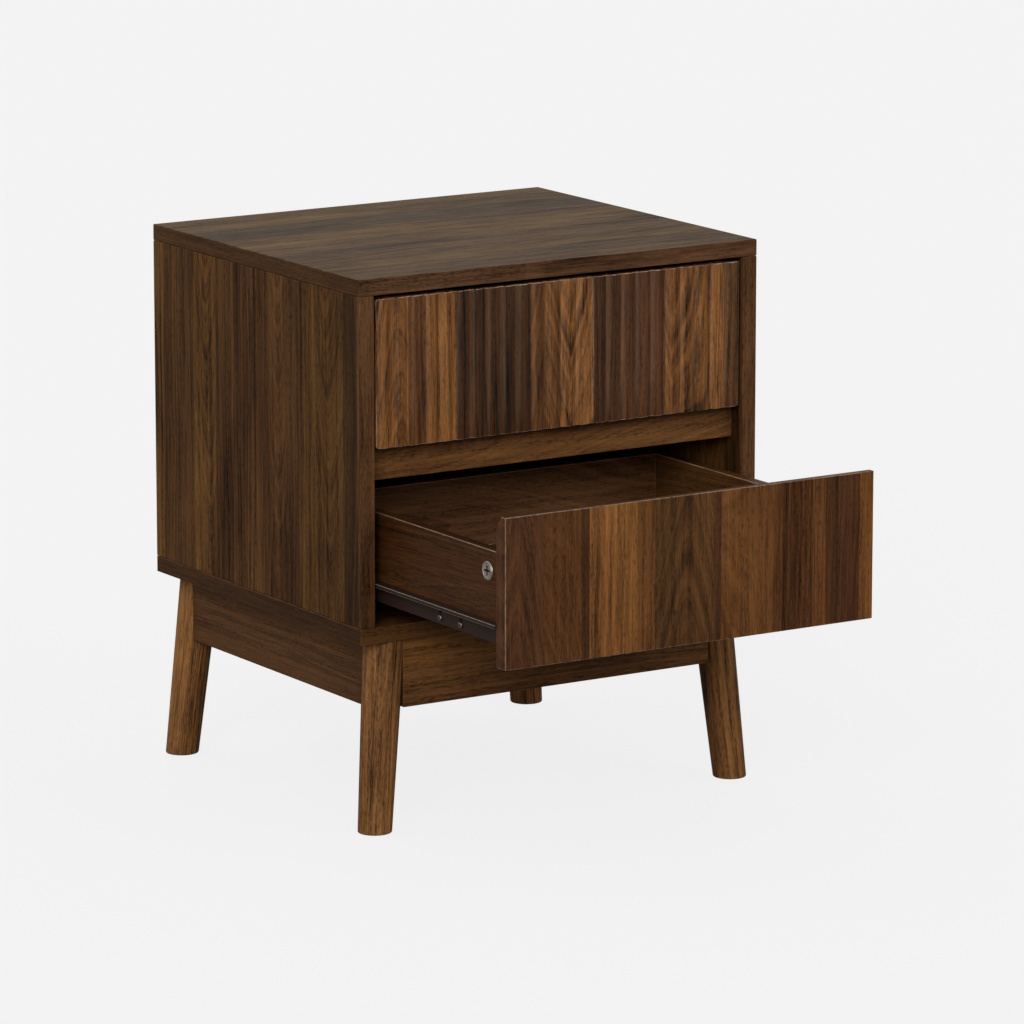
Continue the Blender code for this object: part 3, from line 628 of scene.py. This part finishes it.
class NIGHTSTAND_OT_upper_front(bpy.types.Operator):
    """Make the ribbed front of the upper drawer"""

    bl_idname = "nightstand.upper_front"
    bl_label = "Ribbed front"

    def execute(self, context):
        settings = context.scene.nightstand_boards
        low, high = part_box("upper_drawer_front")
        shape = block(low, high)
        corners = [edge for edge in shape.edges
                   if abs((edge.verts[1].co - edge.verts[0].co).normalized().y) > UPRIGHT]
        round_edges(shape, corners, settings.corner, CORNER_STEPS)
        outline = [edge for edge in shape.edges if all(abs(v.co.y - low.y) < TOUCH
                                                       for v in edge.verts)]
        # The outline's rounded faces take the lighter edge lines, partly painted highlight.
        for face in round_edges(shape, outline, settings.ease, settings.ease_steps):
            face.material_index = LINE

        pitch = (high.x - low.x) / settings.ribs
        for number in range(1, settings.ribs * settings.rib_steps):
            # What faces forwards is cut, and so is the rounding of its outline.
            front = [face for face in shape.faces if abs(face.normal.y) > 0.2
                     and face.calc_center_median().y < low.y + settings.ease]
            parts = dict.fromkeys(front)
            for face in front:
                parts.update(dict.fromkeys([*face.edges, *face.verts]))
            bmesh.ops.bisect_plane(shape, geom=list(parts), dist=MERGE,
                                   plane_co=(low.x + pitch * number / settings.rib_steps, 0, 0),
                                   plane_no=(1, 0, 0))
        for corner in shape.verts:
            if corner.co.y < low.y + settings.ease + TOUCH:
                turn = math.pi * (corner.co.x - low.x) / pitch
                corner.co.y += settings.rib_depth * (1 - abs(math.sin(turn)))

        cut_away(shape, (0, high.y - settings.pull_depth, low.z),
                 (0, settings.pull_drop, -settings.pull_depth))
        groove_front(shape, "upper", high.y)
        # Its outline takes the pale edge tone, partly painted highlight.
        materials = board_materials("ribbed_front", low, high, "z", "x", PRINTS["upper_front"],
                                    0.9, edge=0.8, line="pale_edge_and_glint", coat=0.35, contrast=1.75)
        finish_piece("ribbed_front", shape, "upper_drawer", "upper_drawer_front",
                     materials)
        return {"FINISHED"}


class NIGHTSTAND_OT_lower_front(bpy.types.Operator):
    """Make the plain front of the lower drawer"""

    bl_idname = "nightstand.lower_front"
    bl_label = "Plain front"

    def execute(self, context):
        settings = context.scene.nightstand_boards
        low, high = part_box("lower_drawer_front")
        shape = block(low, high)
        ease_rim(shape)
        cut_away(shape, (0, high.y - settings.pull_depth, high.z),
                 (0, settings.pull_drop, settings.pull_depth))
        groove_front(shape, "lower", high.y)
        mark_bands(shape, "z")
        # Its outline takes the pale edge tone, partly painted highlight.
        materials = board_materials("plain_front", low, high, "z", "x", PRINTS["lower_front"],
                                    1.9, edge=0.64, line="pale_edge_and_glint", contrast=1.2)
        finish_piece("plain_front", shape, "lower_drawer", "lower_drawer_front",
                     materials)
        return {"FINISHED"}


class NIGHTSTAND_OT_drawer_boxes(bpy.types.Operator):
    """Make the sides and backs of the two drawer boxes"""

    bl_idname = "nightstand.drawer_boxes"
    bl_label = "Drawer boxes"

    def execute(self, context):
        # The boxes' edge lines take the pale edge tone, partly painted highlight.
        for level in LEVELS:
            body = level + "_drawer"
            # The right sides and the backs are painted lighter than the left sides: painted light
            # on the faces seen inside the drawers.
            for side in SIDES:
                make_board(f"{level}_{side}_box_side", f"{body}_{side}_side", body, "y", "z",
                           None, 7.7, line="pale_edge_and_glint", lift=0.74 if side == "left" else 0.9)
            make_board(level + "_box_back", body + "_back", body, "x", "z",
                       one_tone("edge", 0.3), 8.2, line="pale_edge_and_glint", lift=1.1)
        return {"FINISHED"}


class NIGHTSTAND_OT_hardboard(bpy.types.Operator):
    """Finish the back panel and the drawer bottoms"""

    bl_idname = "nightstand.hardboard"
    bl_label = "Hardboard"

    def execute(self, context):
        for node, along, across in (("back_panel", "z", "x"), ("upper_drawer_bottom", "x", "y"),
                                    ("lower_drawer_bottom", "x", "y")):
            low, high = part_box(node)
            span = (high - low).dot(AXES[across])
            material = walnut_material(node + "_print", across, along, low.dot(AXES[across]),
                                       span, plain_strips(span, node), 3.0, lift=0.9)
            dress(node, material)
        return {"FINISHED"}


def dress(node, material):
    """Give a carried-over frame node its finish."""
    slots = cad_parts[node].data.materials
    slots.clear()
    slots.append(material)


def metal_group():
    """Plated or coated metal: faint clouds, fine scratches and a mottled sheen."""
    name = "Plated metal"
    if name in bpy.data.node_groups:
        return bpy.data.node_groups[name]
    group, entry, leave = new_group(
        name, (("Tone", "Color"), ("Wear", "Float"), ("Low Roughness", "Float"),
               ("High Roughness", "Float")),
        (("Color", "Color"), ("Roughness", "Float"), ("Height", "Float")))
    place = add_node(group, "ShaderNodeTexCoord").outputs["Object"]
    cloud = stretched_noise(group, place, METAL_SCALES["cloud"], 3)
    scratch = stretched_noise(group, place, METAL_SCALES["scratch"], 2)
    grit = stretched_noise(group, place, METAL_SCALES["grit"], 2)
    light = calculate(group, "MULTIPLY_ADD", calculate(group, "SUBTRACT", cloud, 0.5),
                      entry.outputs["Wear"], 1.0)
    group.links.new(tint(group, entry.outputs["Tone"], light), leave.inputs["Color"])
    mixed = calculate(group, "MULTIPLY_ADD", scratch, 0.5,
                      calculate(group, "MULTIPLY", cloud, 0.5))
    group.links.new(remap(group, mixed, 0.3, 0.7, entry.outputs["Low Roughness"],
                          entry.outputs["High Roughness"]), leave.inputs["Roughness"])
    group.links.new(grit, leave.inputs["Height"])
    return group


def metal_material(name, tone, metallic, wear, rough, relief, specular=0.5):
    """Metal or plastic finish; rough is the least and the most of its roughness."""
    material, tree, shader = new_material(name, metallic, specular)
    look = add_node(tree, "ShaderNodeGroup", node_tree=metal_group())
    for key, value in (("Tone", (*tone, 1.0)), ("Wear", wear), ("Low Roughness", rough[0]),
                       ("High Roughness", rough[1])):
        look.inputs[key].default_value = value
    feed_shader(tree, shader, look, relief)
    return material


def cross_recess(shape, centre, rim, arm, depth):
    """Sink a cross into the flat cap that faces +X around a centre, clear of the cap's rim."""
    cap = max((face for face in shape.faces if face.normal.x > UPRIGHT),
              key=lambda face: face.calc_area())
    bmesh.ops.inset_individual(shape, faces=[cap], thickness=rim, depth=0.0,
                               use_even_offset=True)
    parts = [cap, *cap.edges, *cap.verts]
    for axis, sign in ((1, -1), (1, 1), (2, -1), (2, 1)):
        point = Vector(centre)
        point[axis] += sign * arm
        normal = [0, 0, 0]
        normal[axis] = 1
        cut = bmesh.ops.bisect_plane(shape, geom=parts, dist=MERGE, plane_co=point,
                                     plane_no=normal)
        parts = list(dict.fromkeys(cut["geom"]))
    faces = [item for item in parts if isinstance(item, bmesh.types.BMFace)]
    cross = []
    for face in faces:
        middle = face.calc_center_median() - Vector(centre)
        if abs(middle.y) < arm or abs(middle.z) < arm:
            cross.append(face)
    made = bmesh.ops.extrude_face_region(shape, geom=cross)
    moved = [item for item in made["geom"] if isinstance(item, bmesh.types.BMVert)]
    bmesh.ops.delete(shape, geom=cross, context="FACES_ONLY")
    bmesh.ops.translate(shape, vec=(-depth, 0, 0), verts=moved)
    bmesh.ops.delete(shape, geom=[edge for edge in shape.edges if edge.is_wire], context="EDGES")


def turned(profile, centre, steps):
    """Closed (radius, along) profile turned about +X and moved to its centre."""
    shape = bmesh.new()
    corners = [shape.verts.new((along, radius, 0)) for radius, along in profile]
    edges = [shape.edges.new(pair) for pair in zip(corners, corners[1:])]
    bmesh.ops.spin(shape, geom=corners + edges, axis=(1, 0, 0), cent=(0, 0, 0), angle=math.tau,
                   steps=steps, use_merge=True)
    bmesh.ops.remove_doubles(shape, verts=shape.verts, dist=MERGE)
    bmesh.ops.dissolve_limit(shape, angle_limit=FLAT_ANGLE, verts=shape.verts, edges=shape.edges)
    bmesh.ops.translate(shape, vec=centre, verts=shape.verts)
    bmesh.ops.recalc_face_normals(shape, faces=shape.faces)
    return shape


def seat_turned(shape, sign, low, high, middle):
    """Turn a fitting made along +X outwards on its side, and set it in its box."""
    if sign < 0:
        bmesh.ops.rotate(shape, verts=shape.verts, cent=(0, 0, 0),
                         matrix=Matrix.Rotation(math.pi, 3, "Z"))
    base = high.x if sign < 0 else low.x
    bmesh.ops.translate(shape, verts=shape.verts, vec=(base, middle.y, middle.z))


class NIGHTSTAND_OT_cam_locks(bpy.types.Operator):
    """Make the plated cam locks"""

    bl_idname = "nightstand.cam_locks"
    bl_label = "Cam locks"

    def execute(self, context):
        fittings = context.scene.nightstand_fittings
        plate = metal_material("nickel_plate", fittings.nickel, metallic=1.0, wear=0.5,
                               rough=(0.42, 0.62), relief=0.00004)
        # Painted shade for the inside of the cross.
        dark = metal_material("cam_recess", fittings.recess, metallic=0.6, wear=0.4,
                              rough=(0.5, 0.7), relief=0.00002)
        # Thickness of the flange, size of its steps, half width of the cross's arms, its depth.
        flange, step, arm, depth = 0.0010, 0.0002, 0.00095, 0.0030
        for level in LEVELS:
            for side, sign in SIDES.items():
                node = f"{level}_{side}_cam_lock"
                low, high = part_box(node)
                middle = (low + high) / 2
                rim, length = (high.z - low.z) / 2, high.x - low.x
                # A plain body, a stepped flange, and a ring groove near the flange's edge.
                body = rim * 0.833
                profile = ((0, 0), (body - 0.0008, 0), (body, 0.0008), (body, length - flange),
                           (rim - step, length - flange), (rim, length - flange + step),
                           (rim, length - 3 * step), (rim - 2 * step, length - step / 2),
                           (rim - 4 * step, length), (rim * 0.84, length),
                           (rim * 0.80, length - 0.0005), (rim * 0.76, length),
                           (0, length))
                shape = turned(profile, (0, 0, 0), 48)
                cross_recess(shape, (length, 0, 0), rim * 0.22, arm, depth)
                # The faces inside the cross take the painted shade.
                for face in shape.faces:
                    spot = face.calc_center_median()
                    if step < length - spot.x < depth + step / 2 \
                            and spot.yz.length < rim * 0.62:
                        face.material_index = 1
                seat_turned(shape, sign, low, high, middle)
                finish_piece(f"{level}_{side}_cam", shape, level + "_drawer", node,
                             [plate, dark])
        return {"FINISHED"}


class NIGHTSTAND_OT_slides(bpy.types.Operator):
    """Finish the slides and their rollers, and make their screws"""

    bl_idname = "nightstand.slides"
    bl_label = "Slides"

    def execute(self, context):
        fittings = context.scene.nightstand_fittings
        epoxy = metal_material("epoxy_steel", fittings.epoxy, metallic=0.0, wear=0.3,
                               rough=(0.38, 0.52), relief=0.00003, specular=0.18)
        nylon = metal_material("nylon", fittings.nylon, metallic=0.0, wear=0.12,
                               rough=(0.35, 0.50), relief=0.00002)
        # Painted highlight along the slides' lips.
        worn = metal_material("worn_edge", fittings.worn, metallic=0.0, wear=0.4,
                              rough=(0.35, 0.50), relief=0.00002)
        screw = metal_material("screw_plate", fittings.screw, metallic=1.0, wear=0.3,
                               rough=(0.40, 0.55), relief=0.00002)
        for level in LEVELS:
            for side, sign in SIDES.items():
                name = f"{level}_{side}"
                dress(name + "_slide_channel", epoxy)
                self.add_runner(name, sign, level + "_drawer", [epoxy, worn])
                for part in ("front_roller", "rear_roller"):
                    dress(f"{name}_{part}", nylon)
                for number in (1, 2):
                    self.add_screw(f"{name}_slide_screw_{number}", sign, level + "_drawer", screw)
        return {"FINISHED"}

    def add_runner(self, name, sign, body, finishes):
        """Runner with the edges of its lip rounded and painted bright as a highlight."""
        node = name + "_slide_runner"
        shape = node_copy(node)
        low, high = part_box(node)
        outer = low.x if sign < 0 else high.x
        lip = [edge for edge in shape.edges
               if all(abs(corner.co.x - outer) < TOUCH for corner in edge.verts)
               and abs(edge.verts[0].co.y - edge.verts[1].co.y) > 0.1]
        # The lip's rounded faces take the painted highlight.
        for face in round_edges(shape, lip, bpy.context.scene.nightstand_fittings.lip, 2):
            face.material_index = 1
        finish_piece(name + "_runner", shape, body, node, finishes)

    def add_screw(self, node, sign, body, finish):
        """Pan-head screw with a cross recess."""
        low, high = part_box(node)
        middle = (low + high) / 2
        radius, length = (high.z - low.z) / 2, high.x - low.x
        shank = head = radius / 2
        profile = ((0, 0), (shank, shank), (shank, length - head), (radius, length - head),
                   (radius, length - head * 0.55), (radius * 0.88, length - head * 0.2),
                   (radius * 0.62, length), (0, length))
        shape = turned(profile, (0, 0, 0), 32)
        cross_recess(shape, (length, 0, 0), radius * 0.08, radius * 0.13, head * 0.7)
        seat_turned(shape, sign, low, high, middle)
        finish_piece(node.replace("slide_", ""), shape, body, node, [finish])


class NIGHTSTAND_OT_leg_fixings(bpy.types.Operator):
    """Finish the corner brackets and their bolts"""

    bl_idname = "nightstand.leg_fixings"
    bl_label = "Leg fixings"

    def execute(self, context):
        zinc = metal_material("zinc_plate", context.scene.nightstand_fittings.zinc,
                              metallic=1.0, wear=0.3, rough=(0.30, 0.48), relief=0.00003)
        for end in ("front", "back"):
            for side in SIDES:
                dress(f"{end}_{side}_bracket", zinc)
                dress(f"{end}_{side}_leg_bolt", zinc)
        return {"FINISHED"}


# ---- Stage ---------------------------------------------------------------------------------
# Azimuth and elevation of the lights, and the spread of the two suns, in degrees.
KEY_DIRECTION = (-42, 25)
SIDE_DIRECTION = (32, 27)
SUN_SPREAD = 30
STRIP_DIRECTION = (-3, 0)
# Width and height of the strip box, its distance from the fronts and the height of its middle.
STRIP_SIZE = (0.34, 0.50)
STRIP_DISTANCE = 1.2
STRIP_HEIGHT = 0.27
STRIP_COLOUR = (1.0, 0.68, 0.44)
# Share of the sky's light that comes from the front, floor greys, and where the camera looks.
SKY_FRONT = 0.15
FLOOR_BOUNCE = 0.25
FLOOR_SHADED = 0.10
FLOOR_GLOW = 0.926
FLOOR_SIZE = 40.0
AIM_HEIGHT, AIM_RIGHT, AIM_DOWN = 0.280, 0.0580035, 0.0236952


class NIGHTSTAND_OT_stage(bpy.types.Operator):
    """Set up the floor, the light and the camera"""

    bl_idname = "nightstand.stage"
    bl_label = "Stage"

    def execute(self, context):
        settings = context.scene.nightstand_stage
        context.scene.view_settings.view_transform = "Standard"
        self.add_floor(context, settings)
        self.add_world(context, settings)
        self.add_sun(context, "key_light", settings.key, KEY_DIRECTION)
        self.add_sun(context, "side_light", settings.side, SIDE_DIRECTION)
        self.add_strip_box(context, settings.strip)
        self.add_camera(context, settings)
        return {"FINISHED"}

    def add_floor(self, context, settings):
        """Wide pale floor that takes only a faint shadow."""
        shape = bmesh.new()
        bmesh.ops.create_grid(shape, x_segments=1, y_segments=1, size=FLOOR_SIZE)
        mesh = bpy.data.meshes.new("floor")
        shape.to_mesh(mesh)
        shape.free()
        material = bpy.data.materials.new("floor_paint")
        material.use_nodes = True
        tree = material.node_tree
        tree.nodes.clear()
        bounce = add_node(tree, "ShaderNodeBsdfDiffuse", {"Color": (*[FLOOR_BOUNCE] * 3, 1)})
        shaded = add_node(tree, "ShaderNodeBsdfDiffuse", {"Color": (*[FLOOR_SHADED] * 3, 1)})
        even = add_node(tree, "ShaderNodeEmission", {"Color": (*settings.floor, 1),
                                                     "Strength": FLOOR_GLOW})
        seen = add_node(tree, "ShaderNodeAddShader", {0: shaded.outputs[0], 1: even.outputs[0]})
        self.split_camera(tree, bounce, seen, "ShaderNodeOutputMaterial")
        mesh.materials.append(material)
        floor = bpy.data.objects.new("floor", mesh)
        context.scene.collection.objects.link(floor)

    def add_world(self, context, settings):
        """Even white surroundings, in the floor's colour where the camera sees them."""
        world = bpy.data.worlds.new("studio")
        world.use_nodes = True
        tree = world.node_tree
        tree.nodes.clear()
        direction = add_node(tree, "ShaderNodeTexCoord").outputs["Generated"]
        depth = add_node(tree, "ShaderNodeSeparateXYZ", {0: direction}).outputs["Y"]
        glow = remap(tree, depth, -1.0, 1.0, SKY_FRONT * settings.sky, settings.sky)
        light = add_node(tree, "ShaderNodeBackground", {"Color": (1, 1, 1, 1), "Strength": glow})
        seen = add_node(tree, "ShaderNodeBackground", {"Color": (*settings.floor, 1),
                                                       "Strength": 1.0})
        self.split_camera(tree, light, seen, "ShaderNodeOutputWorld")
        context.scene.world = world

    def split_camera(self, tree, light, seen, end):
        """One shader for the light that a surface gives, and another for how it is seen."""
        path = add_node(tree, "ShaderNodeLightPath")
        mix = add_node(tree, "ShaderNodeMixShader", {0: path.outputs["Is Camera Ray"],
                                                     1: light.outputs[0], 2: seen.outputs[0]})
        add_node(tree, end, {"Surface": mix.outputs[0]})

    def add_sun(self, context, name, strength, direction):
        """Broad, even light from one direction."""
        data = bpy.data.lights.new(name, "SUN")
        data.energy = strength
        data.angle = math.radians(SUN_SPREAD)
        lamp = bpy.data.objects.new(name, data)
        self.aim(lamp, heading(*map(math.radians, direction)))
        context.scene.collection.objects.link(lamp)

    def aim(self, item, back):
        """Turn a light or a camera so that back points away from what it faces."""
        item.rotation_mode = "QUATERNION"
        item.rotation_quaternion = back.to_track_quat("Z", "Y")

    def add_strip_box(self, context, power):
        """Tall soft box whose reflection runs down the ribs."""
        data = bpy.data.lights.new("strip_box", "AREA")
        data.shape = "RECTANGLE"
        data.size, data.size_y = STRIP_SIZE
        data.energy = power
        data.color = STRIP_COLOUR
        out = heading(*map(math.radians, STRIP_DIRECTION))
        target = Vector((0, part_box("upper_drawer_front")[0].y, STRIP_HEIGHT))
        lamp = bpy.data.objects.new("strip_box", data)
        lamp.location = target + out * STRIP_DISTANCE
        self.aim(lamp, out)
        lamp.visible_camera = False
        lamp.visible_diffuse = False
        context.scene.collection.objects.link(lamp)

    def add_camera(self, context, settings):
        """Long lens a little above the top board."""
        low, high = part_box("top_panel")
        back = heading(settings.azimuth, settings.elevation)
        right = Vector((math.cos(settings.azimuth), math.sin(settings.azimuth), 0))
        up = back.cross(right)
        target = Vector((0, (low.y + high.y) / 2, AIM_HEIGHT)) + right * AIM_RIGHT - up * AIM_DOWN
        data = bpy.data.cameras.new("camera")
        data.lens = settings.lens
        camera = bpy.data.objects.new("camera", data)
        camera.location = target + back * settings.distance
        self.aim(camera, back)
        context.scene.collection.objects.link(camera)
        context.scene.camera = camera


def heading(azimuth, elevation):
    """Direction from the object towards an azimuth and elevation."""
    level = math.cos(elevation)
    return Vector((math.sin(azimuth) * level, -math.cos(azimuth) * level, math.sin(elevation)))


# ---- Panel and registration ----------------------------------------------------------------
GROUPS = {
    "nightstand_walnut": NIGHTSTAND_PG_walnut,
    "nightstand_boards": NIGHTSTAND_PG_boards,
    "nightstand_fittings": NIGHTSTAND_PG_fittings,
    "nightstand_stage": NIGHTSTAND_PG_stage,
}
OPERATORS = (
    NIGHTSTAND_OT_stage, NIGHTSTAND_OT_carcass, NIGHTSTAND_OT_legs, NIGHTSTAND_OT_upper_front,
    NIGHTSTAND_OT_lower_front, NIGHTSTAND_OT_drawer_boxes, NIGHTSTAND_OT_hardboard,
    NIGHTSTAND_OT_cam_locks, NIGHTSTAND_OT_slides, NIGHTSTAND_OT_leg_fixings,
)


class NIGHTSTAND_PT_pieces(bpy.types.Panel):
    """Pieces of the nightstand and their settings"""

    bl_idname = "NIGHTSTAND_PT_pieces"
    bl_label = "Nightstand"
    bl_space_type = "VIEW_3D"
    bl_region_type = "UI"
    bl_category = "Nightstand"

    def draw(self, context):
        for operator in OPERATORS:
            self.layout.operator(operator.bl_idname)
        for name in GROUPS:
            settings = getattr(context.scene, name)
            box = self.layout.box()
            for key in settings.__annotations__:
                box.prop(settings, key)


def register():
    """Register the classes and hang the settings on the scene."""
    for item in (*GROUPS.values(), *OPERATORS, NIGHTSTAND_PT_pieces):
        bpy.utils.register_class(item)
    for name, group in GROUPS.items():
        setattr(bpy.types.Scene, name, PointerProperty(type=group))


def unregister():
    """Undo register."""
    for name in GROUPS:
        delattr(bpy.types.Scene, name)
    for item in reversed((*GROUPS.values(), *OPERATORS, NIGHTSTAND_PT_pieces)):
        bpy.utils.unregister_class(item)


def main():
    register()
    for operator in OPERATORS:
        group, name = operator.bl_idname.split(".")
        getattr(getattr(bpy.ops, group), name)()


if __name__ == "__main__":
    main()
